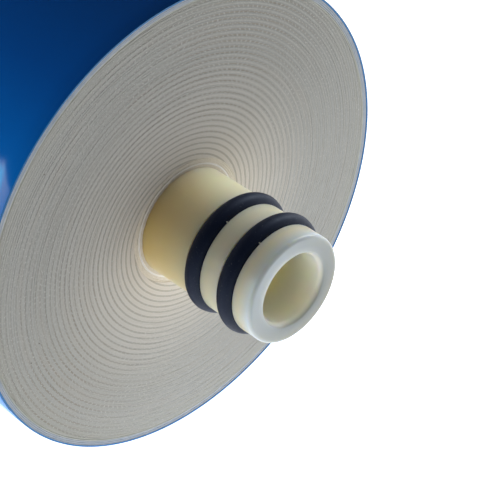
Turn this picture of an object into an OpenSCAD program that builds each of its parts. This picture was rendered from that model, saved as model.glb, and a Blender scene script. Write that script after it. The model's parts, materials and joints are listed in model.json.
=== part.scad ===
// Spiral-wound reverse-osmosis membrane element, residential 3 x 12 inch size.
// X runs along the axis and points out of the permeate outlet; Z is up.
// The origin is on the axis, in the plane of the roll's end at the outlet.

/* [Wound roll] */
// Length of the roll between its two trimmed ends
roll_length = 254; // [150:1:400]
// Outside diameter of the roll over its film
roll_d = 76; // [66:0.5:90]
// Thickness of the coloured film, several turns together
film_t = 0.45; // [0.2:0.05:0.6]
// Thickness of the clear tape turns under the film
tape_wrap_t = 0.9; // [0.3:0.05:1]

/* [Membrane leaves] */
// Number of leaves wound side by side
leaf_count = 10; // [6:1:12]
// Thickness of one membrane ply
membrane_t = 0.14; // [0.1:0.01:0.2]
// Thickness of the feed spacer net
spacer_t = 0.33; // [0.25:0.01:0.5]
// Thickness of the permeate carrier cloth
carrier_t = 0.25; // [0.2:0.01:0.3]
// Width of the glue line along each end of a leaf
glue_w = 25; // [15:1:40]
// Turns of carrier cloth on the tube, under the leaves
core_turns = 5; // [2:1:6]

/* [Permeate tube] */
// How far the outlet spigot stands out of the roll
spigot_length = 22.4; // [20:0.1:24]
// Outside diameter of the tube and its outlet spigot
tube_d = 17.2; // [16.5:0.1:17.5]
// How far the closed spigot stands out of the roll at the feed end
closed_length = 21.6; // [15:0.1:30]
// Diameter of the bore
bore_d = 11; // [9:0.1:12]
// Outside diameter of the closed spigot at the feed end
closed_d = 16.8; // [16:0.1:17]
// Thickness of the wall that closes the feed end
end_wall = 3; // [2:0.1:6]
// Rounding of the outlet spigot's nose
nose_round = 1.1; // [0.3:0.1:1.5]
// Rounding of the bore's mouth
mouth_round = 0.8; // [0.3:0.1:1]
// Diameter of each permeate hole
hole_d = 2; // [1:0.1:3]
// Distance between rings of permeate holes
hole_pitch = 25; // [15:1:40]

/* [O-rings] */
// Cord diameter of both O-rings
cord_d = 3; // [2.8:0.05:3]
// Diameter across the middle of the cord, as fitted
oring_d = 16.1; // [16:0.05:16.2]
// Width of each groove
groove_w = 3.1; // [3.05:0.05:3.2]
// From the tip of the spigot to the front groove
front_land = 3.7; // [3:0.1:5]
// From the front edge of one groove to that of the next
groove_spacing = 6.6; // [5:0.1:7]

/* [Brine seal] */
// How far the free lip stands out from the roll
lip_height = 3.5; // [2.5:0.1:6]
// Length of the seal's band along the roll
band_length = 22; // [16:1:30]
// Thickness of the seal's rubber
seal_t = 1; // [0.8:0.1:1.5]
// From the feed end of the roll to the band
band_offset = 7; // [5:0.5:12]

/* [Hidden] */
$fn = 96;
roll_r = roll_d / 2;
tube_r = tube_d / 2;
bore_r = bore_d / 2;
closed_r = closed_d / 2;
cord_r = cord_d / 2;
feed_x = -roll_length;
closed_tip_x = feed_x - closed_length;
film_inner_r = roll_r - film_t;
tape_inner_r = film_inner_r - tape_wrap_t;

// Thin parts that lie on each other stay this far apart.
skin_gap = 0.02;
sheet_gap = 0.007;

// A wound sheet is a chain of quarter arcs. Each turns about the next corner of
// a small square, and its radius is one side of the square larger, so the sheet
// climbs by one side in every quarter turn. All the leaves share the square, so
// they stay parallel. Radii are whole micrometres, so that the arcs meet.
function tidy(x) = round(x * 1000) / 1000;
function tidy_up(x) = ceil(x * 200) / 200;
leaf_step = 360 / leaf_count;
leaf_t = 2 * membrane_t + spacer_t + carrier_t;
leaf_climb = tidy_up(leaf_count * (leaf_t + 4 * sheet_gap) / 4);
leaf_pitch = 4 * leaf_climb / leaf_count;
core_climb = tidy_up((carrier_t + sheet_gap) / 4);
core_first_r = tidy(tube_r + skin_gap + core_climb / 2);
core_outer_r = core_first_r + (4 * core_turns - 0.5) * core_climb + carrier_t;

// Where the first leaf leaves the core, and how far each leaf winds.
root_gap = 0.07;
first_root = 27;
leaf_span = floor(90 * (tape_inner_r - core_outer_r - 2 * root_gap - leaf_pitch) / leaf_climb);
glue_tail = 36;
core_end = 36;
fold_span = 0.8;

carrier_r = core_outer_r + root_gap + leaf_climb * (0.5 - first_root / 90);
inner_ply_r = carrier_r + carrier_t + sheet_gap;
spacer_r = inner_ply_r + membrane_t + sheet_gap;
outer_ply_r = spacer_r + spacer_t + sheet_gap;

oring_front_x = spigot_length - front_land - groove_w / 2;
oring_rear_x = oring_front_x - groove_spacing;
groove_floor_r = oring_d / 2 - cord_r - skin_gap;

hole_rings = floor((roll_length - hole_pitch) / hole_pitch);
hole_start = -(roll_length - (hole_rings - 1) * hole_pitch) / 2;

band_x = feed_x + band_offset;
band_end_x = band_x + band_length;
band_inner_r = roll_r + skin_gap;
band_r = band_inner_r + seal_t;
lip_r = roll_r + lip_height;
lip_run = 14;
lip_edge_t = 0.6;
lip_root = 4.5;
band_bevel = 0.3;
seal_tape_t = 0.15;
seal_tape_lap = 6;

ivory = [0.86, 0.84, 0.72];
rubber_navy = [0.07, 0.08, 0.12];
rubber_black = [0.09, 0.09, 0.1];
film_blue = [0.02, 0.36, 0.68];
tape_clear = [0.72, 0.78, 0.84];
membrane_cream = [0.83, 0.81, 0.74];
spacer_grey = [0.45, 0.43, 0.38];
cloth_white = [0.9, 0.89, 0.84];
glue_amber = [0.78, 0.7, 0.5];
tape_black = [0.12, 0.13, 0.15];

// The pieces of the leaves are numbered: membrane_leaf_01, feed_spacer_01 ...
LEAVES = [0 : leaf_count - 1];
function leaf_name(kind, i) = str(kind, i < 9 ? "_0" : "_", i + 1);

// ---- helpers ----

// Turns a shape that was made along Z so that it lies along X.
module along_x() {
    rotate([0, 90, 0]) children();
}

module revolved() {
    along_x() rotate_extrude() children();
}

// A ring's outline between two radii and two places along the axis.
module ring_outline(r_in, r_out, x_from, x_to) {
    translate([r_in, x_from]) square([r_out - r_in, x_to - x_from]);
}

// What rounding takes off a square corner whose point is at [0, 0].
module corner_loss(r) {
    difference() {
        translate([-r, -r]) square(2 * r);
        translate([-r, -r]) circle(r);
    }
}

// One arc of quarter number m, between two angles counted from its start. An arc
// that starts late is drawn back from the quarter's end, where the next one joins.
module arc(m, from, to, climb, r, t, x_from, x_to) {
    late = from > 0;
    rotate(90 * m) translate([climb / 2, climb / 2]) rotate(late ? 0 : -90)
        mirror([0, late ? 1 : 0]) rotate_extrude(angle = to - from)
            ring_outline(r + m * climb, r + m * climb + t, x_from, x_to);
}

// A sheet wound between two angles. The radius r is that of quarter number 0.
module wound(from, to, climb, r, t, x_from, x_to) {
    for (m = [floor(from / 90) : ceil(to / 90) - 1])
        arc(m, max(from - 90 * m, 0), min(to - 90 * m, 90), climb, tidy(r), t, x_from, x_to);
}

function leaf_root(i) = first_root + i * leaf_step;

// A sheet of leaf i, from one angle past its root to another.
module leaf_sheet(i, from, to, r, t, x_from, x_to) {
    root = leaf_root(i);
    wound(root + from, root + to, leaf_climb, r - i * leaf_pitch, t, x_from, x_to);
}

// ---- permeate tube and its seals ----

module groove_outline(ring_x) {
    ring_outline(groove_floor_r, tube_r + 1, ring_x - groove_w / 2, ring_x + groove_w / 2);
}

module tube_outline() {
    closed_start_x = feed_x - 1;
    difference() {
        union() {
            ring_outline(0, tube_r, closed_start_x, spigot_length);
            ring_outline(0, closed_r, closed_tip_x, closed_start_x);
        }
        ring_outline(-1, bore_r, closed_tip_x + end_wall, spigot_length + 1);
        translate([tube_r, spigot_length]) corner_loss(nose_round);
        translate([bore_r, spigot_length]) mirror([1, 0]) corner_loss(mouth_round);
        translate([closed_r, closed_tip_x]) mirror([0, 1]) corner_loss(nose_round);
        groove_outline(oring_front_x);
        groove_outline(oring_rear_x);
    }
}

module permeate_tube() {
    color(ivory) difference() {
        revolved() tube_outline();
        for (i = [0 : hole_rings - 1])
            translate([hole_start - i * hole_pitch, 0, 0])
                rotate([90 * (i % 2), 0, 0])
                    cylinder(h = 2 * tube_d, d = hole_d, center = true);
    }
}

module oring(ring_x) {
    color(rubber_navy) revolved() translate([oring_d / 2, ring_x]) circle(cord_r);
}

// ---- the wound sheets ----

module core_wrap() {
    color(cloth_white) along_x() rotate(core_end)
        wound(0, 360 * core_turns, core_climb, core_first_r, carrier_t, feed_x, 0);
}

// A folded membrane: two plies, and the fold that joins them next to the core.
module membrane_leaf(i) {
    cavity_t = spacer_t + 2 * sheet_gap;
    color(membrane_cream) along_x() difference() {
        leaf_sheet(i, 0, leaf_span, inner_ply_r, cavity_t + 2 * membrane_t, feed_x, 0);
        leaf_sheet(i, fold_span, leaf_span + 1, spacer_r - sheet_gap, cavity_t, feed_x - 1, 1);
    }
}

module feed_spacer(i) {
    color(spacer_grey) along_x()
        leaf_sheet(i, 2 * fold_span, leaf_span, spacer_r, spacer_t, feed_x, 0);
}

module permeate_carrier(i) {
    color(cloth_white) along_x()
        leaf_sheet(i, 0, leaf_span - glue_tail, carrier_r, carrier_t, feed_x + glue_w, -glue_w);
}

// The glue closes a carrier's two ends and its outer edge.
module glue_seam(i) {
    color(glue_amber) along_x() difference() {
        leaf_sheet(i, 0, leaf_span, carrier_r, carrier_t, feed_x, 0);
        leaf_sheet(
            i, -1, leaf_span - glue_tail, carrier_r - carrier_t, 3 * carrier_t,
            feed_x + glue_w, -glue_w
        );
    }
}

// ---- the wraps round the roll ----

module tape_wrap() {
    color(tape_clear) revolved() ring_outline(tape_inner_r, film_inner_r - skin_gap, feed_x, 0);
}

module film_wrap() {
    color(film_blue) revolved() ring_outline(film_inner_r, roll_r, feed_x, 0);
}

// ---- brine seal ----

// A band that grips the roll, with a lip that flares towards the feed end.
module brine_seal() {
    lip_x = band_end_x - lip_run;
    color(rubber_black) revolved() polygon([
        [band_inner_r, band_x],
        [band_inner_r, band_end_x],
        [band_r - band_bevel, band_end_x],
        [band_r + seal_t / 2, band_end_x - lip_root / 2],
        [lip_r, lip_x],
        [lip_r - lip_edge_t, lip_x],
        [band_r, band_end_x - lip_root],
        [band_r, band_x + band_bevel],
        [band_r - band_bevel, band_x]
    ]);
}

// The tape that holds the band's feed-side edge down on the roll.
module brine_seal_tape() {
    low_r = band_inner_r;
    high_r = band_r + skin_gap;
    edge_x = band_x - skin_gap;
    lap_x = band_x + seal_tape_lap;
    color(tape_black) revolved() polygon([
        [low_r, feed_x],
        [low_r + seal_tape_t, feed_x],
        [low_r + seal_tape_t, edge_x - seal_tape_t],
        [high_r + seal_tape_t, edge_x - seal_tape_t],
        [high_r + seal_tape_t, lap_x],
        [high_r, lap_x],
        [high_r, edge_x],
        [low_r, edge_x]
    ]);
}

permeate_tube();
oring(oring_front_x);  // oring_front
oring(oring_rear_x);  // oring_rear
core_wrap();
tape_wrap();
film_wrap();
brine_seal();
brine_seal_tape();
for (i = LEAVES) {
    membrane_leaf(i);
    feed_spacer(i);
    permeate_carrier(i);
    glue_seam(i);
}
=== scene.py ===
import json
import math

import bmesh
import bpy
import numpy as np
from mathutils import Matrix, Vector


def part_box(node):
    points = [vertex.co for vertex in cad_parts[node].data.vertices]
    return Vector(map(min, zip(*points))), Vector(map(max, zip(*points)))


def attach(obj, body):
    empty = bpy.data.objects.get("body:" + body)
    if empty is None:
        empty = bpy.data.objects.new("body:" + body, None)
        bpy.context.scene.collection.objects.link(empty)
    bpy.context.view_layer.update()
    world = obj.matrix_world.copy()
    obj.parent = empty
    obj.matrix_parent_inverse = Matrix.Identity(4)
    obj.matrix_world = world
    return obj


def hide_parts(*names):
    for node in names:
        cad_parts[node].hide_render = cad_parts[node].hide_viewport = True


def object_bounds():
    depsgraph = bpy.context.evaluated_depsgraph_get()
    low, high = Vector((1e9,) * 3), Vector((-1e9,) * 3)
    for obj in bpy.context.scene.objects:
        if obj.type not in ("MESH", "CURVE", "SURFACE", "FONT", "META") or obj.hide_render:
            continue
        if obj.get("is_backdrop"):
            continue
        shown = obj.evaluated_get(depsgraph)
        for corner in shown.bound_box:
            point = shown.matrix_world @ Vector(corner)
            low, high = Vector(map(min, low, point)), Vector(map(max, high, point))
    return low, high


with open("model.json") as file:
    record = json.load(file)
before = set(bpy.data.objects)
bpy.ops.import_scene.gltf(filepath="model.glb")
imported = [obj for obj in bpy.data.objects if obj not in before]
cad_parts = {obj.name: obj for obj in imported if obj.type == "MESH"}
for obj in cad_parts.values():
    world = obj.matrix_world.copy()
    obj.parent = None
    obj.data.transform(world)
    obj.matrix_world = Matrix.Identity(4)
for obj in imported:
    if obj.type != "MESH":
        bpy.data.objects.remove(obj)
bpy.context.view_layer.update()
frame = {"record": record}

MM = 0.001


# ---------------------------------------------------------------- sizes from the frame

def span_x(node):
    """Where a node starts and ends along the axis."""
    low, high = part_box(node)
    return low.x / MM, high.x / MM


def radius(node):
    """A round node's outer radius."""
    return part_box(node)[1].z / MM


mounts = {m["name"]: m for m in frame["record"]["mounts"]}

FEED_X, FACE_X = span_x("film_wrap")
ROLL_R = radius("film_wrap")
TAPE_R = radius("tape_wrap")
TUBE_R = mounts["spigot_nose"]["dims"]["r_mm"]
BORE_R = mounts["permeate_outlet"]["dims"]["r_mm"]
CLOSED_R = mounts["closed_spigot"]["dims"]["r_mm"]
CLOSED_TIP_X, TIP_X = span_x("permeate_tube")
RING_XS = {n: sum(span_x(n)) / 2 for n in ("oring_front", "oring_rear")}
RING_R = radius("oring_front")
SEAL_X, SEAL_END_X = span_x("brine_seal")
LIP_R = radius("brine_seal")
TAPE_BAND_END_X = span_x("brine_seal_tape")[1]

# The permeate tube and its rings.
CORD_R = 1.5
GROOVE_W = 3.1
HOLE_R = 1.0
HOLE_RINGS = 9
HOLE_FIRST = 27.0
HOLE_PITCH = 25.0
END_WALL = 3.0
NOSE_ROUND = 0.6
MOUTH_R = 6.05
MOUTH_DEPTH = 0.8

# The wound leaves: every layer climbs by one lead in a turn.
LEAVES = 10
LEAD = 8.88
ROOT_R = 10.24
FIRST_ROOT = -147.0
CORE_R = 10.17
TAPE_INNER_R = 36.5
FILM_INNER_R = 37.6
CARRIER_T = 0.25
PLY_T = 0.14
SPACER_T = 0.33
SHEET_GAP = 0.007
GLUE_W = 25.0
GLUE_TAIL = 36.0
WOUND_STEP = 2.0

# A wound sheet has four columns of points along X. Only the two at its ends are trimmed unevenly.
TRIM_ZONE = 3
SHEET_COLUMNS = (FACE_X, FACE_X - TRIM_ZONE, FEED_X + TRIM_ZONE, FEED_X)

rng = np.random.default_rng(30)


# ---------------------------------------------------------------- mesh helpers

CREASE = 35
WAVE_COUNT = 5


def mesh_object(name, points, quads):
    """An object from points in millimetres and its quads, turned to face outwards."""
    points = np.asarray(points, float)
    quads = np.asarray(quads, int)
    a, b, c, d = (points[quads[:, k]] for k in range(4))
    volume = np.einsum("ij,ij->", a, np.cross(b, c)) + np.einsum("ij,ij->", a, np.cross(c, d))
    if volume < 0:
        quads = quads[:, ::-1]
    mesh = bpy.data.meshes.new(name)
    mesh.vertices.add(len(points))
    mesh.vertices.foreach_set("co", (points * MM).astype(np.float32).ravel())
    mesh.loops.add(quads.size)
    mesh.loops.foreach_set("vertex_index", quads.astype(np.int32).ravel())
    mesh.polygons.add(len(quads))
    mesh.polygons.foreach_set("loop_start", np.arange(0, quads.size, 4, dtype=np.int32))
    mesh.polygons.foreach_set("loop_total", np.full(len(quads), 4, dtype=np.int32))
    mesh.update(calc_edges=True)
    mesh.validate()
    made = bpy.data.objects.new(name, mesh)
    bpy.context.scene.collection.objects.link(made)
    return made


def make_piece(name, points, quads, stands_for, slot, finish, crease=CREASE, second=None, second_from=0):
    """A mesh piece riding on the cartridge. From quad second_from on it takes the second finish."""
    piece = mesh_object(name, points, quads)
    dress(piece, stands_for, finish, crease)
    if second is not None:
        piece.data.materials.append(second)
        late = np.arange(len(quads)) >= second_from
        piece.data.polygons.foreach_set("material_index", late.astype(np.int32))


def dress(piece, stands_for, finish, crease=CREASE):
    """Smooth shading, the material, and the piece's place in the frame."""
    piece.data.polygons.foreach_set("use_smooth", [True] * len(piece.data.polygons))
    piece.data.set_sharp_from_angle(angle=math.radians(crease))
    piece.data.materials.clear()
    piece.data.materials.append(finish)
    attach(piece, "root")
    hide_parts(stands_for)


def sweep_quads(rings, sides, closed=False):
    """Quads of an outline swept through rings, with end caps unless it closes on itself."""
    ring = np.arange(rings if closed else rings - 1)[:, None]
    side = np.arange(sides)[None, :]
    after, beside = (ring + 1) % rings, (side + 1) % sides
    walls = np.stack(
        [ring * sides + side, ring * sides + beside, after * sides + beside, after * sides + side], -1
    ).reshape(-1, 4)
    if closed:
        return walls
    k = np.arange(sides // 2 - 1)
    start = np.stack([k, sides - 1 - k, sides - 2 - k, k + 1], -1)
    return np.concatenate([walls, start, start[:, ::-1] + (rings - 1) * sides])


def join(parts):
    """Several (points, quads) as one."""
    points, quads, count = [], [], 0
    for p, q in parts:
        points.append(p)
        quads.append(q + count)
        count += len(p)
    return np.concatenate(points), np.concatenate(quads)


def place(x, r, angle):
    """Points at a place along the axis, a radius and an angle in degrees."""
    turn = np.radians(angle)
    x, r, turn = np.broadcast_arrays(x, r, turn)
    return np.stack([x, r * np.cos(turn), r * np.sin(turn)], -1)


def waves(angle, size, slowest, fastest):
    """A smooth random line over angles in degrees, of about that size."""
    total = np.zeros_like(np.asarray(angle, float))
    for _ in range(WAVE_COUNT):
        rate, phase = rng.uniform(slowest, fastest), rng.uniform(0, 360)
        total = total + np.sin(np.radians(angle * rate + phase))
    return total * size / math.sqrt(WAVE_COUNT / 2)


def arc(x, r, radius, start, end, steps):
    """Points of an arc about (x, r), from one angle to another, as (x, r) pairs."""
    turn = np.radians(np.linspace(start, end, steps + 1))
    return [(x + radius * math.cos(t), r + radius * math.sin(t)) for t in turn]


def lathe(profile, angles, push=None):
    """A closed outline of (x, r) pairs turned about the axis; push moves its points outwards."""
    xs, rs = np.array(profile).T
    if len(xs) % 2:
        raise ValueError("a turned outline needs an even number of points")
    angles = np.asarray(angles, float)
    r = np.broadcast_to(rs, (len(angles), len(rs)))
    x = np.broadcast_to(xs, (len(angles), len(xs)))
    if push is not None:
        r = r + push(x, r, angles[:, None])
    points = place(x, r, angles[:, None]).reshape(-1, 3)
    return points, sweep_quads(len(angles), len(xs), closed=True)


def even_turn(steps):
    """Angles of one turn in even steps."""
    return np.arange(steps) * 360 / steps


# ---------------------------------------------------------------- materials

# Nearly all values of a noise texture lie between these.
NOISE_SPAN = (0.3, 0.7)


class Nodes:
    """A node tree, and short ways to add to it."""

    def __init__(self, tree):
        self.tree = tree

    def node(self, kind, **settings):
        made = self.tree.nodes.new(kind)
        for key, value in settings.items():
            setattr(made, key, value)
        return made

    def link(self, source, target):
        self.tree.links.new(source, target)

    def reach(self, vector, direction):
        """How far a vector goes in one direction."""
        made = self.node("ShaderNodeVectorMath", operation="DOT_PRODUCT")
        made.inputs[1].default_value = direction
        self.link(vector, made.inputs[0])
        return made.outputs["Value"]

    def product(self, first, second):
        made = self.node("ShaderNodeMath", operation="MULTIPLY")
        self.link(first, made.inputs[0])
        self.link(second, made.inputs[1])
        return made.outputs[0]

    def remap(self, value, low, high, to_low=0.0, to_high=1.0, ease="LINEAR"):
        """A value carried from one range to another and held at its ends."""
        made = self.node("ShaderNodeMapRange", interpolation_type=ease)
        made.inputs["From Min"].default_value = low
        made.inputs["From Max"].default_value = high
        made.inputs["To Min"].default_value = to_low
        made.inputs["To Max"].default_value = to_high
        self.link(value, made.inputs["Value"])
        return made.outputs[0]

    def blend(self, factor, first, second):
        """A colour between two, each a colour or another node's output."""
        made = self.node("ShaderNodeMix", data_type="RGBA")
        self.link(factor, made.inputs["Factor"])
        for socket, colour in ((made.inputs[6], first), (made.inputs[7], second)):
            if isinstance(colour, tuple):
                socket.default_value = (*colour, 1)
            else:
                self.link(colour, socket)
        return made.outputs[2]


class Finish(Nodes):
    """A material with one Principled shader, and short ways to add detail to it."""

    def __init__(self, name, color, **sockets):
        self.material = bpy.data.materials.new(name)
        self.material.use_nodes = True
        super().__init__(self.material.node_tree)
        self.shader = self.tree.nodes["Principled BSDF"]
        self.shader.inputs["Base Color"].default_value = (*color, 1)
        for socket, value in sockets.items():
            self.shader.inputs[socket.replace("_", " ")].default_value = value
        texture_place = self.node("ShaderNodeTexCoord")
        scale = self.node("ShaderNodeVectorMath", operation="SCALE")
        scale.inputs["Scale"].default_value = 1 / MM
        self.link(texture_place.outputs["Object"], scale.inputs[0])
        self.mm = scale.outputs[0]

    def noise(self, size, detail, stretch=(1, 1, 1), rough=0.5):
        """Noise whose features are about size millimetres across, stretched by axis."""
        mapping = self.node("ShaderNodeMapping")
        mapping.inputs["Scale"].default_value = tuple(1 / (size * s) for s in stretch)
        texture = self.node("ShaderNodeTexNoise")
        texture.inputs["Scale"].default_value = 1
        texture.inputs["Detail"].default_value = detail
        texture.inputs["Roughness"].default_value = rough
        self.link(self.mm, mapping.inputs["Vector"])
        self.link(mapping.outputs[0], texture.inputs["Vector"])
        return texture.outputs["Fac"]

    def along_x(self):
        """The place along the axis, in millimetres."""
        parts = self.node("ShaderNodeSeparateXYZ")
        self.link(self.mm, parts.inputs[0])
        return parts.outputs["X"]

    def from_axis(self):
        """The distance from the axis, in millimetres."""
        flat = self.node("ShaderNodeVectorMath", operation="MULTIPLY")
        flat.inputs[1].default_value = (0, 1, 1)
        self.link(self.mm, flat.inputs[0])
        length = self.node("ShaderNodeVectorMath", operation="LENGTH")
        self.link(flat.outputs[0], length.inputs[0])
        return length.outputs["Value"]

    def turn_noise(self, across, along):
        """Noise drawn out round the axis, so that it differs from turn to turn of the roll."""
        shrink = self.node("ShaderNodeVectorMath", operation="SCALE")
        shrink.inputs["Scale"].default_value = 1 / along
        self.link(self.mm, shrink.inputs[0])
        parts = self.node("ShaderNodeSeparateXYZ")
        self.link(shrink.outputs[0], parts.inputs[0])
        radial = self.remap(self.from_axis(), 0, across)
        radial.node.clamp = False
        spot = self.node("ShaderNodeCombineXYZ")
        self.link(radial, spot.inputs["X"])
        self.link(parts.outputs["Y"], spot.inputs["Y"])
        self.link(parts.outputs["Z"], spot.inputs["Z"])
        texture = self.node("ShaderNodeTexNoise")
        texture.inputs["Scale"].default_value = 1
        texture.inputs["Detail"].default_value = 2
        self.link(spot.outputs[0], texture.inputs["Vector"])
        return texture.outputs["Fac"]

    def toward(self, angle, distance):
        """From -1 to 1 across the roll in one direction round the axis, at that distance."""
        turn = math.radians(angle)
        return self.reach(self.mm, (0, math.cos(turn) / distance, math.sin(turn) / distance))

    def near_core(self, most, width):
        """Strongest at the core cloth and gone that many millimetres further out."""
        return self.remap(self.from_axis(), CORE_R, CORE_R + width, most, 0.0)

    def mottle(self, noise, first, second):
        """A colour that noise moves between two."""
        return self.blend(self.remap(noise, *NOISE_SPAN), first, second)

    def paint(self, colour):
        self.link(colour, self.shader.inputs["Base Color"])

    def roughen(self, noise, low, high):
        """A roughness that noise moves between two values."""
        self.link(self.remap(noise, *NOISE_SPAN, low, high), self.shader.inputs["Roughness"])

    def bump(self, height, distance):
        """Relief of about distance millimetres."""
        made = self.node("ShaderNodeBump")
        made.inputs["Distance"].default_value = distance * MM
        made.inputs["Strength"].default_value = 1
        self.link(height, made.inputs["Height"])
        self.link(made.outputs[0], self.shader.inputs["Normal"])


# Sides of the tube and the roll towards which painted light and painted shade change the tone, as angles
# round the axis.
TUBE_SHADE_SIDE = 168.0
NOSE_SHADE_SIDE = 320.0
PLY_SHADE_SIDE = 55.0
CLOSED_SIDE = 318.0
PALE_RIM_SIDE = 145.0
FILM_SHADE_SIDE = 95.0

# Where the tube's tones and its painted light and shade change, along X from the roll's face.
UNDER_ROLL = (-12, -4)
ROOT_LIGHT_SHADE_SPAN = (0, 3.5)
LIT_AND_SHADED_SPAN = (4, 14)
# And measured back from the tip.
# Over this span the painted cool light grows towards the tip.
COOL_LIGHT_SPAN = (2.6, 0.7)
NOSE_EDGE = (0.6, 0.05)
# Over this span the bore's painted light grows paler towards the mouth.
MOUTH_LIGHT_SPAN = (7, 1)
# Where the bore's painted light becomes the outer skin's tone, outwards from the bore's wall.
WALL_SPAN = (0.1, 0.5)


def tube_plastic():
    """Slightly translucent plastic, with painted light and amber painted shade near the roll, painted
    cool light and painted shade at the nose, and a bore painted brighter as painted light.
    """
    f = Finish("tube_plastic", (0.85, 0.78, 0.57), IOR=1.5, Subsurface_Weight=0.7)
    f.shader.inputs["Subsurface Radius"].default_value = (1.0, 0.8, 0.45)
    f.shader.inputs["Subsurface Scale"].default_value = 3.5 * MM
    wall = f.remap(f.from_axis(), *(BORE_R + d for d in WALL_SPAN))
    f.paint(f.blend(wall, bore_light_tone(f), nose_tone(f, body_tone(f))))
    f.link(f.remap(wall, 0, 1, 0.12, 0.28), f.shader.inputs["Roughness"])
    return f.material


def body_tone(f):
    """Ivory, and near the roll painted light on one side and amber painted shade on the other."""
    x = f.along_x()
    side = f.remap(f.toward(TUBE_SHADE_SIDE, TUBE_R), -0.1, 1.0)
    ivory = f.mottle(f.noise(9, 2, (3, 1, 1)), (0.87, 0.78, 0.545), (0.88, 0.80, 0.585))
    # Near the roll the tube is painted lighter on one side and amber, as painted shade, on the other.
    amber = f.blend(side, (0.98, 0.87, 0.57), (0.84, 0.655, 0.28))
    # Right at the roll this painted light and amber painted shade are stronger.
    root_light_shade = f.blend(side, (0.96, 0.85, 0.58), (0.78, 0.55, 0.19))
    body = f.blend(f.remap(x, *LIT_AND_SHADED_SPAN), amber, ivory)
    root = f.blend(f.remap(x, *ROOT_LIGHT_SHADE_SPAN), root_light_shade, body)
    return f.blend(f.remap(x, *UNDER_ROLL), ivory, root)


def nose_tone(f, body):
    """The body's tone with a painted cool light towards the tip; on the nose itself a painted bluish
    light that turns to painted shade on one side.
    """
    x = f.along_x()
    side = f.remap(f.toward(NOSE_SHADE_SIDE, TUBE_R), -1, 1)
    # On the nose: a painted bluish light that turns to painted shade on one side.
    nose = f.blend(side, (0.53, 0.58, 0.60), (0.355, 0.375, 0.35))
    # Towards the tip: a painted cool light.
    cool = f.blend(f.remap(x, *(TIP_X - d for d in COOL_LIGHT_SPAN)), body, (0.71, 0.76, 0.75))
    return f.blend(f.remap(x, *(TIP_X - d for d in NOSE_EDGE)), cool, nose)


def bore_light_tone(f):
    # The bore is painted brighter than the skin, as painted light coming through the wall, and paler
    # still at the mouth.
    mouth = f.remap(f.along_x(), *(TIP_X - d for d in MOUTH_LIGHT_SPAN))
    return f.blend(mouth, (1.0, 0.905, 0.59), (1.0, 0.98, 0.88))


def ring_rubber():
    """Blue-black rubber, matt, with a few specks of dust."""
    f = Finish("ring_rubber", (0.010, 0.014, 0.028), IOR=1.45, Specular_IOR_Level=0.3,
               Specular_Tint=(0.70, 0.82, 1.0, 1))
    dust = f.remap(f.noise(0.25, 2), 0.66, 0.74)
    f.paint(f.blend(dust, (0.007, 0.011, 0.030), (0.05, 0.055, 0.07)))
    f.roughen(f.noise(1.2, 4), 0.48, 0.6)
    f.bump(f.noise(0.12, 3), 0.004)
    return f.material


# How strong the painted light near the core is, and how many millimetres out it reaches.
CORE_LIGHT = 0.8
CORE_LIGHT_W = 17
RIM_TINT_W = 3.5


def membrane_ply():
    """Non-woven backing: fine fibres, turns of slightly different tone, a few specks of dust, painted
    light near the core and painted shade towards one side of the face.
    """
    f = Finish("membrane_ply", (0.60, 0.60, 0.56), Roughness=0.85, Specular_IOR_Level=0.25)
    fibre = f.noise(0.22, 4, rough=0.7)
    cloth = f.mottle(fibre, (0.42, 0.412, 0.38), (0.53, 0.522, 0.485))
    warm = f.remap(f.turn_noise(1.6, 14), 0.5, 0.75, 0.0, 0.5)
    warmed = f.blend(warm, cloth, (0.52, 0.46, 0.39))
    rim = f.remap(f.from_axis(), TAPE_INNER_R - RIM_TINT_W, TAPE_INNER_R, 0.0, 0.35)
    edged = f.blend(rim, warmed, (0.47, 0.47, 0.36))
    # Paler near the core: painted light.
    core_lit = f.blend(f.near_core(CORE_LIGHT, CORE_LIGHT_W), edged, (0.80, 0.74, 0.66))
    # Darker towards one side of the roll's face: painted shade.
    grey = f.remap(f.toward(PLY_SHADE_SIDE, TAPE_R), 0.25, 1.0, 0.0, 0.6)
    greyed = f.blend(grey, core_lit, (0.33, 0.325, 0.30))
    speck = f.remap(f.noise(0.9, 1), 0.79, 0.82)
    f.paint(f.blend(speck, greyed, (0.16, 0.13, 0.10)))
    f.bump(fibre, 0.03)
    return f.material


def glued_cloth():
    """Carrier cloth soaked with glue, as its trimmed edge shows it, painted paler near the core as
    painted light.
    """
    f = Finish("glued_cloth", (0.60, 0.57, 0.49), Roughness=0.6, Specular_IOR_Level=0.35)
    knit = f.noise(0.3, 3, (4, 1, 1), 0.6)
    cloth = f.mottle(knit, (0.41, 0.39, 0.34), (0.52, 0.51, 0.465))
    # Paler near the core: painted light.
    f.paint(f.blend(f.near_core(CORE_LIGHT, CORE_LIGHT_W), cloth, (0.78, 0.71, 0.63)))
    f.bump(knit, 0.02)
    return f.material


def carrier_cloth():
    """Clean carrier cloth, inside the roll."""
    f = Finish("carrier_cloth", (0.74, 0.73, 0.68), Roughness=0.8, Specular_IOR_Level=0.3)
    knit = f.noise(0.3, 3, (6, 1, 1), 0.6)
    f.paint(f.mottle(knit, (0.66, 0.65, 0.60), (0.80, 0.79, 0.75)))
    f.bump(knit, 0.03)
    return f.material


# The white turn's middle, and how far from it the white begins and is full.
WHITE_TURN_R = 9.2
WHITE_TURN_EDGE = (0.17, 0.1)


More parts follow.
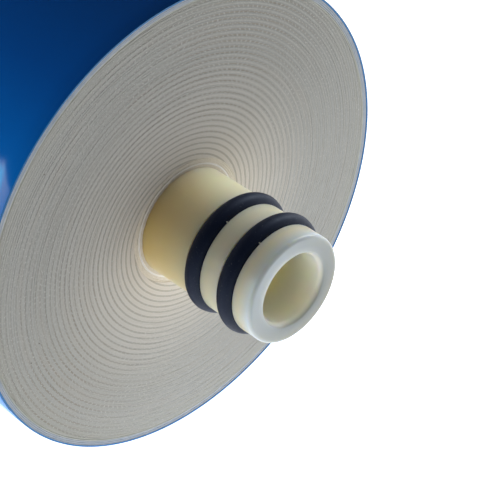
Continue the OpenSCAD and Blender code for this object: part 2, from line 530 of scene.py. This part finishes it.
def core_cloth():
    """Cloth on the tube: one turn of it is nearly white."""
    f = Finish("core_cloth", (0.62, 0.57, 0.47), Roughness=0.75, Specular_IOR_Level=0.3)
    knit = f.noise(0.25, 4, (2, 1, 1), 0.6)
    cloth = f.mottle(knit, (0.74, 0.67, 0.56), (0.86, 0.80, 0.70))
    r = f.from_axis()
    above = f.remap(r, *(WHITE_TURN_R - d for d in WHITE_TURN_EDGE))
    below = f.remap(r, *(WHITE_TURN_R + d for d in WHITE_TURN_EDGE))
    f.paint(f.blend(f.product(above, below), cloth, (0.93, 0.90, 0.86)))
    f.bump(knit, 0.02)
    return f.material


def net_shade():
    """The net seen down in its channel, coloured brown as the channel's painted shade; the painted shade
    is weaker on the closed side, at the rim on one side and near the core.
    """
    f = Finish("net_shade", (0.40, 0.37, 0.31), Roughness=0.7)
    tone = f.remap(f.turn_noise(1.1, 10), 0.35, 0.65)
    # The brown stands in for the shade down in the channel: painted shade.
    brown = f.blend(tone, (0.345, 0.305, 0.245), (0.405, 0.375, 0.315))
    # The painted shade is weaker towards the closed side, at the rim on one side and near the core.
    pale = f.remap(f.toward(CLOSED_SIDE, TAPE_R), -0.15, 0.5, 0.1, 0.95)
    shaded = f.blend(pale, brown, (0.455, 0.45, 0.42))
    rim = f.remap(f.toward(PALE_RIM_SIDE, TAPE_R), 0.35, 0.9, 0.0, 0.8)
    rimmed = f.blend(rim, shaded, (0.45, 0.44, 0.41))
    f.paint(f.blend(f.near_core(0.7, 12), rimmed, (0.58, 0.52, 0.43)))
    return f.material


def net_strand():
    """The cut ends of the net's strands."""
    f = Finish("net_strand", (0.52, 0.49, 0.44), Roughness=0.5, IOR=1.49)
    f.paint(f.mottle(f.noise(0.7, 3), (0.44, 0.41, 0.36), (0.58, 0.57, 0.52)))
    return f.material


# Where the tape stops looking glued, outwards from its innermost turn.
GLUED_TAPE = (0.2, 0.5)


def clear_tape():
    """Clear tape: its inner turns look yellow with glue, its outer ones cool and pale."""
    f = Finish("clear_tape", (0.50, 0.60, 0.70), IOR=1.49)
    tone = f.noise(1.5, 3, (2, 1, 1))
    glued = f.mottle(tone, (0.40, 0.39, 0.32), (0.47, 0.465, 0.39))
    cool = f.mottle(tone, (0.36, 0.405, 0.46), (0.44, 0.475, 0.52))
    outer = f.remap(f.from_axis(), *(TAPE_INNER_R + d for d in GLUED_TAPE))
    f.paint(f.blend(outer, glued, cool))
    f.roughen(f.noise(0.5, 3), 0.3, 0.45)
    return f.material


# The film's cut edge, back from the roll's face.
FILM_CUT = (0.08, 0.02)


def blue_film():
    """Glossy blue film, darker on one side as painted shade, and deeper where it is cut."""
    f = Finish("blue_film", (0.0, 0.18, 0.65), IOR=1.45)
    pale = f.mottle(f.noise(20, 3, (3, 1, 1)), (0.0, 0.235, 0.74), (0.0, 0.275, 0.84))
    # Darker towards one side of the roll: painted shade.
    film_shade = f.remap(f.toward(FILM_SHADE_SIDE, ROLL_R), 0.4, 0.9)
    skin = f.blend(film_shade, pale, (0.0, 0.125, 0.50))
    cut = f.remap(f.along_x(), *(FACE_X - d for d in FILM_CUT))
    f.paint(f.blend(cut, skin, (0.01, 0.17, 0.43)))
    f.roughen(f.noise(3, 4), 0.07, 0.12)
    f.bump(f.noise(9, 3, (2, 1, 1)), 0.03)
    return f.material


def seal_rubber():
    """Black rubber with a faint grey bloom."""
    f = Finish("seal_rubber", (0.018, 0.018, 0.02), IOR=1.52)
    bloom = f.remap(f.noise(3, 4), 0.4, 0.75, 0, 0.5)
    f.paint(f.blend(bloom, (0.015, 0.015, 0.017), (0.05, 0.05, 0.052)))
    f.roughen(f.noise(0.6, 4), 0.45, 0.62)
    f.bump(f.noise(0.2, 3), 0.006)
    return f.material


def vinyl_tape():
    """Black vinyl tape, a little glossier than the seal."""
    f = Finish("vinyl_tape", (0.03, 0.032, 0.038), IOR=1.5)
    f.paint(f.mottle(f.noise(2, 4), (0.025, 0.027, 0.032), (0.05, 0.052, 0.06)))
    f.roughen(f.noise(0.8, 4), 0.35, 0.5)
    f.bump(f.noise(0.3, 3), 0.01)
    return f.material


# ---------------------------------------------------------------- permeate tube and rings

# The mould's parting line: its angle, and the height and half width of its ridge.
PARTING = 111.3
PARTING_H = 0.012
PARTING_W = 1.1


def tube_angles():
    """Even steps, and finer ones across the two mould parting lines."""
    span, step = 3, 0.3
    fine = np.arange(-span, span + 0.01, step)
    fine_turns = np.concatenate([PARTING + fine, PARTING + 180 + fine])
    turns = even_turn(240)
    clear = [a for a in turns if min(abs(a - PARTING), abs(a - PARTING - 180)) > span + 0.4]
    return np.sort(np.concatenate([clear, fine_turns]))


GROOVE_EDGE = 0.12
GROOVE_ROOT = 0.25
GROOVE_BOTTOM_R = RING_R - 2 * CORD_R - 0.02
# A turned outline stops this short of the axis.
AXIS_GAP = 0.02


def groove(ring_x):
    """A ring's groove from its front to its back, with rounded edges and corners."""
    front, back, bottom = ring_x + GROOVE_W / 2, ring_x - GROOVE_W / 2, GROOVE_BOTTOM_R
    edge, root = GROOVE_EDGE, GROOVE_ROOT
    outline = [(front + edge, TUBE_R)] + arc(front + edge, TUBE_R - edge, edge, 90, 180, 3)[1:]
    outline += [(front, bottom + root)] + arc(front - root, bottom + root, root, 0, -90, 3)[1:]
    outline += arc(back + root, bottom + root, root, -90, -180, 3)
    return outline + arc(back - edge, TUBE_R - edge, edge, 0, 90, 3)


def closed_end():
    """The pin behind the roll, its rounded tip, and the gate's mark in a shallow dimple."""
    step_x = FEED_X - 1
    dimple_x, mark_x = CLOSED_TIP_X + 0.25, CLOSED_TIP_X + 0.1
    outline = [(step_x + 0.3, TUBE_R), (step_x, CLOSED_R)]
    outline += [(CLOSED_TIP_X + NOSE_ROUND + 4, CLOSED_R)]
    outline += arc(CLOSED_TIP_X + NOSE_ROUND, CLOSED_R - NOSE_ROUND, NOSE_ROUND, 90, 180, 8)
    outline += [(CLOSED_TIP_X, 2.2), (dimple_x, 2.0), (dimple_x, 0.9)]
    return outline + [(mark_x, 0.8), (mark_x, AXIS_GAP)]


def bore_outline():
    """The bore from its blind end, which has a rounded corner, to its chamfered mouth."""
    blind_x, corner = CLOSED_TIP_X + END_WALL, 0.4
    mouth_x = TIP_X - MOUTH_DEPTH
    outline = [(blind_x, AXIS_GAP), (blind_x, BORE_R - corner)]
    outline += arc(blind_x + corner, BORE_R - corner, corner, 180, 90, 4)[1:]
    outline += [(blind_x + 12, BORE_R), (-10.0, BORE_R), (TIP_X - 6, BORE_R)]
    outline += [(mouth_x - 0.12, BORE_R), (mouth_x + 0.05, BORE_R + 0.06)]
    outline += [(TIP_X - 0.16, MOUTH_R - 0.10), (TIP_X - 0.05, MOUTH_R + 0.01)]
    return outline + [(TIP_X, MOUTH_R + 0.14)]


def tube_outline():
    """The tube's section: over the nose to the closed tip, back along the bore, and its end face."""
    outside = arc(TIP_X - NOSE_ROUND, TUBE_R - NOSE_ROUND, NOSE_ROUND, 0, 90, 10)
    outside += groove(RING_XS["oring_front"]) + groove(RING_XS["oring_rear"])
    outside += [(1.0, TUBE_R), (0.0, TUBE_R)]
    face_r = TUBE_R - NOSE_ROUND
    face = [(TIP_X, (MOUTH_R + face_r) / 2), (TIP_X, face_r - 0.1)]
    return outside + closed_end() + bore_outline() + face


def parting_line(x, r, angle):
    """A low ridge where the two halves of the mould met, on the outer surface only."""
    off = np.minimum(np.abs(angle - PARTING), np.abs(angle - PARTING - 180))
    ridge = PARTING_H * np.exp(-((off / PARTING_W) ** 2))
    return np.where((r > TUBE_R - 0.02) & (x > 0.5), ridge, 0)


def permeate_tube(finish):
    """The tube, its permeate holes drilled right across, and two crumbs of flash."""
    crumbs = join([flash_nick(RING_XS[n] + GROOVE_W / 2) for n in RING_XS])
    tube = mesh_object("tube", *lathe(tube_outline(), tube_angles(), parting_line))
    drill(tube, join([hole_cutter(k) for k in range(HOLE_RINGS)]))
    both = bmesh.new()
    both.from_mesh(tube.data)
    extra = mesh_object("flash", *crumbs)
    both.from_mesh(extra.data)
    both.to_mesh(tube.data)
    both.free()
    bpy.data.objects.remove(extra)
    dress(tube, "permeate_tube", finish)


def hole_cutter(k):
    """A bar across the tube at the k-th ring of holes; rings alternate between Z and Y."""
    turn = np.radians(even_turn(20))
    reach = np.array([-1, 1])[:, None] * (TUBE_R + 1) + 0 * turn
    x = -HOLE_FIRST - k * HOLE_PITCH + HOLE_R * np.sin(turn) + 0 * reach
    side = HOLE_R * np.cos(turn) + 0 * reach
    bar = [x, side, reach] if k % 2 == 0 else [x, reach, side]
    return np.stack(bar, -1).reshape(-1, 3), sweep_quads(2, len(turn))


def drill(piece, cutter):
    """Cut a shape, given by its points and quads, out of a piece."""
    tool = mesh_object("cutter", *cutter)
    cut = piece.modifiers.new("holes", "BOOLEAN")
    cut.operation, cut.solver, cut.object = "DIFFERENCE", "EXACT", tool
    seen = piece.evaluated_get(bpy.context.evaluated_depsgraph_get())
    drilled = bpy.data.meshes.new_from_object(seen)
    piece.modifiers.clear()
    piece.data = drilled
    bpy.data.objects.remove(tool)


def flash_nick(edge_x):
    """A crumb of flash that the mould left where the parting line meets a groove's front edge."""
    length, width, height = 0.3, 0.22, 0.14
    along = np.linspace(-1, 1, 7)
    swell = np.sqrt(np.clip(1 - along**2, 0.04, 1))
    around = np.radians(even_turn(10))
    x = edge_x + 0.1 - length / 2 * (1 + along)[:, None] + 0 * around
    side = width / 2 * swell[:, None] * np.cos(around)
    rise = height / 2 * swell[:, None] * np.sin(around)
    points = place(x, TUBE_R + 0.05 + rise, PARTING + np.degrees(side / TUBE_R))
    return points.reshape(-1, 3), sweep_quads(len(along), len(around))


RING_UNDERSIZE = 0.02
RING_FLASH_H = 0.018
RING_FLASH_W = 0.06


def oring(name, finish):
    """A ring with a faint line of flash round its outer and inner equators."""
    turn = np.radians(even_turn(60))
    flash = RING_FLASH_H * np.exp(-((np.cos(turn) / RING_FLASH_W) ** 2))
    size = CORD_R - RING_UNDERSIZE + flash
    xs = RING_XS[name] + size * np.cos(turn)
    rs = RING_R - CORD_R + size * np.sin(turn)
    points, quads = lathe(list(zip(xs, rs)), even_turn(256))
    make_piece(name + "_rubber", points, quads, name, "oring_rubber", finish, crease=60)


# ---------------------------------------------------------------- the wound leaves

# Inner and outer edge of each layer of a leaf, above the leaf's own spiral.
CARRIER = (0.0, CARRIER_T)
INNER_PLY = (CARRIER[1] + SHEET_GAP, CARRIER[1] + SHEET_GAP + PLY_T)
SPACER = (INNER_PLY[1] + SHEET_GAP, INNER_PLY[1] + SHEET_GAP + SPACER_T)
OUTER_PLY = (SPACER[1] + SHEET_GAP, SPACER[1] + SHEET_GAP + PLY_T)
THINNEST = 0.015
# Each ply is thickened towards the net by the burr of its trimmed edge, which ripples.
PLY_BURR = 0.03
BURR_RIPPLE = 0.006
SHEET_TRIM = 0.03
# How far the leaves stay from the core cloth and the tape.
LEAF_GAP = 0.002


def leaf_r(i, angle):
    """The radius of a leaf's spiral at an angle."""
    return ROOT_R + LEAD * (angle - FIRST_ROOT - i * 360 / LEAVES) / 360


def layer_angles(i, layer, tail=0.0):
    """Angles over which a layer lies between the core and the tape."""
    start = FIRST_ROOT + i * 360 / LEAVES
    first = start + 360 * (CORE_R + THINNEST - ROOT_R - layer[1]) / LEAD
    last = start + 360 * (TAPE_INNER_R - THINNEST - ROOT_R - layer[0]) / LEAD - tail
    return np.linspace(first, last, int((last - first) / WOUND_STEP) + 1)


def layer_edges(i, layer, angle, inner_shift=0.0, outer_shift=0.0):
    """Inner and outer radius of a layer, held between the core and the tape."""
    base = leaf_r(i, angle)
    inner = np.maximum(base + layer[0] + inner_shift, CORE_R + LEAF_GAP)
    outer = np.minimum(base + layer[1] + outer_shift, TAPE_INNER_R - LEAF_GAP)
    return inner, np.maximum(outer, inner + THINNEST / 2)


def slab(angle, inner, outer, columns, trims):
    """A wound sheet. columns are its places along X; trims move each of them by angle."""
    k = len(columns)
    xs = np.stack([c + t for c, t in zip(columns, trims)], 1)
    x = np.concatenate([xs, xs[:, ::-1]], 1)
    r = np.concatenate([np.repeat(inner[:, None], k, 1), np.repeat(outer[:, None], k, 1)], 1)
    points = place(x, r, angle[:, None]).reshape(-1, 3)
    return points, sweep_quads(len(angle), 2 * k)


def cut_edge(angle, depth):
    """How far a trimmed edge lies inside the roll's end plane: slow waves and small nicks."""
    slow = np.abs(waves(angle, depth * 0.5, 0.3, 3))
    return slow + np.abs(rng.normal(0, depth * 0.35, len(angle)))


def trimmed_ends(angle, depth):
    """How far each of a sheet's four columns is moved: the two at its ends, and not the others."""
    still = np.zeros_like(angle)
    front = -cut_edge(angle, depth)
    back = cut_edge(angle, depth)
    return front, still, still, back


def full_sheet(i, layer, angle, inner_shift=0.0, outer_shift=0.0):
    """A layer from one end of the roll to the other, with both ends trimmed."""
    inner, outer = layer_edges(i, layer, angle, inner_shift, outer_shift)
    return slab(angle, inner, outer, SHEET_COLUMNS, trimmed_ends(angle, SHEET_TRIM))


def membrane_leaf(i, finish):
    """Two plies of one folded membrane. Near the core they close on each other."""
    inner_angle, outer_angle = layer_angles(i, INNER_PLY), layer_angles(i, OUTER_PLY)
    bulge_in = PLY_BURR + waves(inner_angle, BURR_RIPPLE, 2, 40)
    bulge_out = -PLY_BURR + waves(outer_angle, BURR_RIPPLE, 2, 40)
    parts = [
        full_sheet(i, INNER_PLY, inner_angle, outer_shift=bulge_in),
        full_sheet(i, OUTER_PLY, outer_angle, inner_shift=bulge_out),
    ]
    name = f"membrane_{i + 1:02d}"
    make_piece(name, *join(parts), f"membrane_leaf_{i + 1:02d}", "membrane", finish)


def permeate_carrier(i, finish):
    """The cloth between the glued margins."""
    angle = layer_angles(i, CARRIER, GLUE_TAIL)
    inner, outer = layer_edges(i, CARRIER, angle)
    still = np.zeros_like(angle)
    parts = slab(angle, inner, outer, (FACE_X - GLUE_W, FEED_X + GLUE_W), (still, still))
    make_piece(f"carrier_{i + 1:02d}", *parts, f"permeate_carrier_{i + 1:02d}", "carrier_cloth", finish)


def glue_seam(i, finish):
    """The glued margins at both ends, and the glued strip at the leaf's outer edge."""
    angle = layer_angles(i, CARRIER)
    inner, outer = layer_edges(i, CARRIER, angle)
    front, still, _, back = trimmed_ends(angle, SHEET_TRIM)
    tail = angle > angle[-1] - GLUE_TAIL
    middle = (FACE_X - GLUE_W, FEED_X + GLUE_W)
    parts = [
        slab(angle, inner, outer, (FACE_X, FACE_X - GLUE_W), (front, still)),
        slab(angle, inner, outer, (FEED_X + GLUE_W, FEED_X), (still, back)),
        slab(angle[tail], inner[tail], outer[tail], middle, (still[tail], still[tail])),
    ]
    make_piece(f"glue_{i + 1:02d}", *join(parts), f"glue_seam_{i + 1:02d}", "leaf_glue", finish)


# The feed spacer: a sheet inside the roll, and the net's crossing strands at both ends.
STRAND_PITCH = 1.0
STRAND_R = 0.09
# Both layers of strands lie this part of a strand's radius from the net's middle.
STRAND_LIFT = 0.9
# One layer's pitch is this part wider than STRAND_PITCH, and the other's is narrower.
PITCH_SKEW = 0.03
STUB_DEPTH = 1.6
STUB_RINGS = 4
STUB_SIDES = 6
NET_RECESS = 0.032
NET_MARGIN = 0.03
# The net is closed within this many degrees of CLOSED_SIDE, and opens over the next ones.
CLOSED_HALF = 25
CLOSED_FADE = 70


def openness(angle):
    """From 0 where the net reaches the trimmed face to 1 where it lies back in its channel."""
    off = np.abs((angle - CLOSED_SIDE + 180) % 360 - 180)
    t = np.clip((off - CLOSED_HALF) / CLOSED_FADE, 0, 1)
    return t * t * (3 - 2 * t)


def strand_starts(i, angle, pitch):
    """Angles at nearly even steps of arc length along the leaf."""
    r = leaf_r(i, angle) + (SPACER[0] + SPACER[1]) / 2
    length = np.concatenate([[0], np.cumsum(np.radians(np.diff(angle)) * (r[1:] + r[:-1]) / 2)])
    steps = np.arange(0.5, length[-1] / pitch - 0.5) * pitch
    steps = steps + rng.normal(0, 0.03 * pitch, len(steps))
    return np.interp(steps, length, angle)


def strands(i, angle, side, end_x, inward):
    """One layer of strands at an end: side -1 lies on the inner ply and +1 on the outer."""
    start = strand_starts(i, angle, STRAND_PITCH * (1 + PITCH_SKEW * side))
    depth = np.linspace(0, 1, STUB_RINGS)[None, :] * STUB_DEPTH
    cut = np.abs(rng.normal(0, 0.02, len(start)))[:, None]
    x = end_x + inward * (cut + depth)
    slant = side * inward
    mid_r = leaf_r(i, start)[:, None] + (SPACER[0] + SPACER[1]) / 2 + side * STRAND_LIFT * STRAND_R
    turn = start[:, None] + np.degrees(slant * depth / mid_r)
    mid_r = mid_r + LEAD * (turn - start[:, None]) / 360
    around = np.radians(even_turn(STUB_SIDES))
    size = STRAND_R * rng.uniform(0.85, 1.1, len(start))[:, None, None]
    # The strands cross the trimmed face at 45 degrees, so their cut ends are ovals.
    across = size * np.cos(around) * math.sqrt(2)
    lift = size * np.sin(around)
    spot = turn[..., None] + np.degrees(across / mid_r[..., None])
    points = place(x[..., None], mid_r[..., None] + lift, spot)
    quads = sweep_quads(STUB_RINGS, STUB_SIDES)
    offsets = np.arange(len(start)) * STUB_RINGS * STUB_SIDES
    return points.reshape(-1, 3), (quads[None] + offsets[:, None, None]).reshape(-1, 4)


def feed_spacer(i, shade, strand):
    """The net of one leaf: its body takes the first finish, the painted shade of its channel, and its
    strands the second.
    """
    angle = layer_angles(i, SPACER)
    inner, outer = layer_edges(i, SPACER, angle, NET_MARGIN, -NET_MARGIN)
    depth = NET_RECESS * (0.25 + openness(angle)) * np.exp(waves(angle, 0.15, 0.3, 4))
    parts = [slab(angle, inner, outer, (FACE_X, FEED_X), (-depth, depth))]
    base = leaf_r(i, angle)
    clear = (base + SPACER[0] > CORE_R) & (base + SPACER[1] < TAPE_INNER_R)
    for end_x, inward in ((FACE_X, -1), (FEED_X, 1)):
        for side in (-1, 1):
            parts.append(strands(i, angle[clear], side, end_x, inward))
    make_piece(
        f"spacer_{i + 1:02d}", *join(parts), f"feed_spacer_{i + 1:02d}", "spacer_net", shade,
        second=strand, second_from=len(parts[0][1])
    )


# ---------------------------------------------------------------- core cloth and the wraps

CORE_TURNS = 5
CORE_START = -144.0
CORE_GAP = 0.03
CORE_TRIM = 0.12
TAPE_TURNS = 4
TAPE_GAP = 0.04
TAPE_TRIM = 0.03


def wound(start, turns, low, high, climb, gap):
    """Angles, inner and outer radius of a cloth or tape wound between two radii."""
    angle = np.arange(start - 330, start + 360 * turns - 30, WOUND_STEP)
    inner = low + climb * (angle - start) / 360
    outer = np.clip(inner + climb - gap, low + THINNEST, high)
    return angle, np.clip(inner, low, outer - THINNEST / 2), outer


def core_wrap(finish):
    """Carrier cloth wound on the tube, its turns trimmed a little unevenly."""
    low, high, climb = TUBE_R + 0.01, CORE_R - 0.005, (CORE_R - TUBE_R) / CORE_TURNS
    angle, inner, outer = wound(CORE_START, CORE_TURNS, low, high, climb, CORE_GAP)
    parts = slab(angle, inner, outer, SHEET_COLUMNS, trimmed_ends(angle, CORE_TRIM))
    make_piece("core_cloth", *parts, "core_wrap", "core_cloth", finish)


def tape_wrap(finish):
    """Clear tape under the film: its turns' edges don't quite line up."""
    low, high = TAPE_INNER_R + 0.004, FILM_INNER_R - 0.006
    angle, inner, outer = wound(0, TAPE_TURNS, low, high, (high - low) / TAPE_TURNS, TAPE_GAP)
    still = np.zeros_like(angle)
    uneven = np.clip(TAPE_TRIM + waves(angle, 0.025, 0.2, 1.5), 0.0, 0.1)
    parts = slab(angle, inner, outer, SHEET_COLUMNS, (-uneven, still, still, uneven))
    make_piece("tape_turns", *parts, "tape_wrap", "clear_tape", finish)


FILM_EDGE = 0.1
FILM_CHAMFER = 0.03
FILM_LAP = 205.0
FILM_LAP_H = 0.10
FILM_SLACK = 0.012


def film_outline():
    """The film's section: its skin, with softened edges, and its inner wall."""
    front, back = FACE_X - FILM_CHAMFER, FEED_X + FILM_CHAMFER
    body = np.linspace(FACE_X - FILM_EDGE, FEED_X + FILM_EDGE, 90)
    outline = [(FACE_X, ROLL_R - FILM_EDGE), (front, ROLL_R - FILM_CHAMFER)]
    outline += [(x, ROLL_R) for x in body]
    outline += [(back, ROLL_R - FILM_CHAMFER), (FEED_X, ROLL_R - FILM_EDGE)]
    outline += [(FEED_X, FILM_INNER_R), (FEED_X + 1, FILM_INNER_R)]
    return outline + [(FACE_X - 1, FILM_INNER_R), (FACE_X, FILM_INNER_R)]


def film_wrap(finish):
    """Blue film: an even skin with soft draw lines and the lap of its outer end."""
    lap_steps = FILM_LAP + np.array([-0.15, -0.05, 0.05, 0.15])
    angles = np.sort(np.concatenate([even_turn(300), lap_steps]))
    rates = [(rng.integers(2, 9), rng.uniform(0.005, 0.03), rng.uniform(0, 6.3)) for _ in range(9)]

    def draw(x, r, angle):
        since = (angle - FILM_LAP) % 360 / 360
        skin = np.where(r > ROLL_R - FILM_EDGE / 2, 1.0, 0.0)
        ripple = sum(
            np.sin(np.radians(angle * turn) + x * along + phase) for turn, along, phase in rates
        )
        return skin * (FILM_SLACK * ripple / 3 - FILM_LAP_H * (1 - since))

    points, quads = lathe(film_outline(), angles, draw)
    make_piece("film_skin", points, quads, "film_wrap", "blue_film", finish)


# ---------------------------------------------------------------- brine seal

def seal_outline():
    """The seal's section: its bore, a bead, the flared lip's two sides, and its band."""
    inner, band = ROLL_R + 0.02, ROLL_R + 1.02
    lip_x, lip_r = SEAL_END_X - 14, 0.3
    bore = [(SEAL_X + 0.3, inner), (SEAL_END_X - 0.3, inner)]
    bead = arc(SEAL_END_X - 0.35, band - 0.65, 0.35, -90, 90, 6)
    flare = [(SEAL_END_X - 2.2, band + 0.45), (SEAL_END_X - 5, band + 0.85)]
    flare += [(SEAL_END_X - 9, band + 1.6), (lip_x + 1.5, LIP_R - 0.25)]
    lip = arc(lip_x + lip_r, LIP_R - lip_r, lip_r, 80, 260, 8)
    under = [(lip_x + 2.5, LIP_R - 1.0), (SEAL_END_X - 8.5, band + 0.55)]
    under += [(SEAL_END_X - 5.5, band + 0.08), (SEAL_END_X - 7.5, band)]
    top = [(SEAL_X + 6, band), (SEAL_X + 0.5, band)]
    end = [(SEAL_X, band - 0.4), (SEAL_X, inner + 0.2)]
    return bore + bead + flare + lip + under + top + end


def brine_seal(finish):
    """A band with a flared lip, as a turned section with rounded edges."""
    points, quads = lathe(seal_outline(), even_turn(240), lip_wave)
    make_piece("seal_band", points, quads, "brine_seal", "seal_rubber", finish)


def lip_wave(x, r, angle):
    """The free lip stands a little unevenly."""
    rigid_r = ROLL_R + 1.3
    free = np.clip((r - rigid_r) / (LIP_R - rigid_r), 0, 1)
    ripple = np.sin(np.radians(3 * angle + 20)) + np.sin(np.radians(7 * angle + 140))
    return free * (0.05 * ripple - 0.1)


def brine_seal_tape(finish):
    """Vinyl tape that drapes from the band down to the roll, creased where it steps down."""
    low, band, thick = ROLL_R + 0.02, ROLL_R + 1.04, 0.15
    step = [(SEAL_X - 0.02 - d, h) for d, h in ((0.0, 1.0), (0.25, 0.75), (0.6, 0.32), (1.1, 0.0))]
    under = [(FEED_X + 0.1, low)] + [(x, low + (band - low) * h) for x, h in reversed(step)]
    under += [(SEAL_X + 3, band), (TAPE_BAND_END_X, band)]
    outline = under + [(x, r + thick) for x, r in reversed(under)]
    ripples = [(rng.integers(5, 30), rng.uniform(0, 6.3)) for _ in range(6)]

    def crease(x, r, angle):
        slope = np.exp(-(((x - SEAL_X + 0.6) / 0.8) ** 2))
        ripple = sum(np.sin(np.radians(angle * n) + p) for n, p in ripples)
        return slope * 0.02 * (ripple + 3)

    points, quads = lathe(outline, even_turn(300), crease)
    make_piece("seal_tape_turn", points, quads, "brine_seal_tape", "seal_tape", finish)


# ---------------------------------------------------------------- scene

AZIMUTH, ELEVATION = 46.405, 38.114
CAMERA_AT = Vector((207.85, -185.14, 212.77)) * MM
LENS = 172.66
SENSOR = 36


def camera():
    """The photo's view of the outlet end."""
    data = bpy.data.cameras.new("camera")
    data.lens, data.sensor_width = LENS, SENSOR
    data.clip_start, data.clip_end = 0.01, 20
    made = bpy.data.objects.new("camera", data)
    made.location = CAMERA_AT
    made.rotation_euler = (math.radians(90 - ELEVATION), 0, math.radians(AZIMUTH))
    bpy.context.scene.collection.objects.link(made)
    bpy.context.scene.camera = made


# Directions of the studio, seen from the object. The photographer's side is dim.
DIM_SIDE = (0.82, -0.57, 0.0)
BEHIND_ROLL = (-1, 0, 0)
WINDOW_SIDE = (-0.62, -0.78, 0.0)
PANE_SIDE = (-0.65, -0.74, 0.17)

# Where the studio's parts fade, as heights or as how far a direction goes towards their side.
COVE_FADE = (0.35, 0.33)
DIM_FADE = (0.5, 0.0)
BEHIND_FADE = (0.94, 0.80)
WINDOW_FADE = (0.6, 0.9)
PANE_FADE = (0.984, 0.991)

CEILING_GREY = (0.045, 0.05, 0.06)
COVE_WHITE = (1.1, 1.14, 1.2)
WINDOW_WHITE = (3.1, 3.2, 3.35)
PANE_BLUE = (2.5, 6.2, 8.4)

OVERHEAD_AT = Vector((-0.01, 0.82, 0.58))
OVERHEAD_SIZE = (0.3, 0.8)
OVERHEAD_POWER = 6.5
OVERHEAD_COLOUR = (0.88, 0.94, 1.0)


def overhead_light():
    """One soft light above and to the side, aimed at the object, that leaves the film out."""
    data = bpy.data.lights.new("overhead", "AREA")
    data.shape = "RECTANGLE"
    data.size, data.size_y = OVERHEAD_SIZE
    data.energy = OVERHEAD_POWER
    data.color = OVERHEAD_COLOUR
    made = bpy.data.objects.new("overhead", data)
    made.location = OVERHEAD_AT
    made.rotation_euler = (-OVERHEAD_AT).to_track_quat("-Z", "Y").to_euler()
    bpy.context.scene.collection.objects.link(made)
    keep_off(made, "film_skin")


def keep_off(light, piece):
    """A light that doesn't fall on one piece."""
    unlit = bpy.data.collections.new(piece + "_unlit")
    unlit.objects.link(bpy.data.objects[piece])
    unlit.collection_objects[0].light_linking.link_state = "EXCLUDE"
    light.light_linking.receiver_collection = unlit


def studio():
    """A white cove with a bright window and one blue pane of it, under a dim ceiling."""
    world = bpy.data.worlds.new("studio")
    world.use_nodes = True
    sky = Nodes(world.node_tree)
    way = sky.node("ShaderNodeTexCoord").outputs["Generated"]

    def faces(side, fade):
        return sky.remap(sky.reach(way, side), *fade, ease="SMOOTHSTEP")

    low = faces((0, 0, 1), COVE_FADE)
    cove = sky.product(low, sky.product(faces(DIM_SIDE, DIM_FADE), faces(BEHIND_ROLL, BEHIND_FADE)))
    walls = sky.blend(cove, CEILING_GREY, COVE_WHITE)
    window = sky.product(faces(WINDOW_SIDE, WINDOW_FADE), cove)
    panes = sky.blend(faces(PANE_SIDE, PANE_FADE), WINDOW_WHITE, PANE_BLUE)
    sky.link(sky.blend(window, walls, panes), sky.tree.nodes["Background"].inputs["Color"])
    bpy.context.scene.world = world
    bpy.context.scene.view_settings.view_transform = "Standard"


FLOOR_HALF = 9.0
FLOOR_GLOW = 1.2
# Over these millimetres towards the dim side the floor's glow fades.
FLOOR_FADE = (30, 260)


def floor():
    """A sheet of pale paper that glows, less so on the photographer's side."""
    half, low = FLOOR_HALF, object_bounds()[0].z
    mesh = bpy.data.meshes.new("floor")
    corners = [(-half, -half, low), (half, -half, low), (half, half, low), (-half, half, low)]
    mesh.from_pydata(corners, [], [(0, 1, 2, 3)])
    made = bpy.data.objects.new("floor", mesh)
    bpy.context.scene.collection.objects.link(made)
    f = Finish("floor_paper", (0.92, 0.92, 0.92), Roughness=0.8)
    f.paint(f.blend(f.noise(300, 2), (0.90, 0.90, 0.90), (0.93, 0.93, 0.93)))
    dim = f.remap(f.reach(f.mm, DIM_SIDE), *FLOOR_FADE)
    f.link(f.blend(dim, (0.97, 0.985, 1.0), (0.3, 0.3, 0.31)), f.shader.inputs["Emission Color"])
    f.shader.inputs["Emission Strength"].default_value = FLOOR_GLOW
    mesh.materials.append(f.material)
    made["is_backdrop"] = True


camera()

permeate_tube(tube_plastic())
rubber = ring_rubber()
for ring in RING_XS:
    oring(ring, rubber)
core_wrap(core_cloth())
tape_wrap(clear_tape())
film_wrap(blue_film())
brine_seal(seal_rubber())
brine_seal_tape(vinyl_tape())

ply, cloth, glue = membrane_ply(), carrier_cloth(), glued_cloth()
shade, strand = net_shade(), net_strand()
for leaf in range(LEAVES):
    membrane_leaf(leaf, ply)
    feed_spacer(leaf, shade, strand)
    permeate_carrier(leaf, cloth)
    glue_seam(leaf, glue)

floor()
studio()
overhead_light()
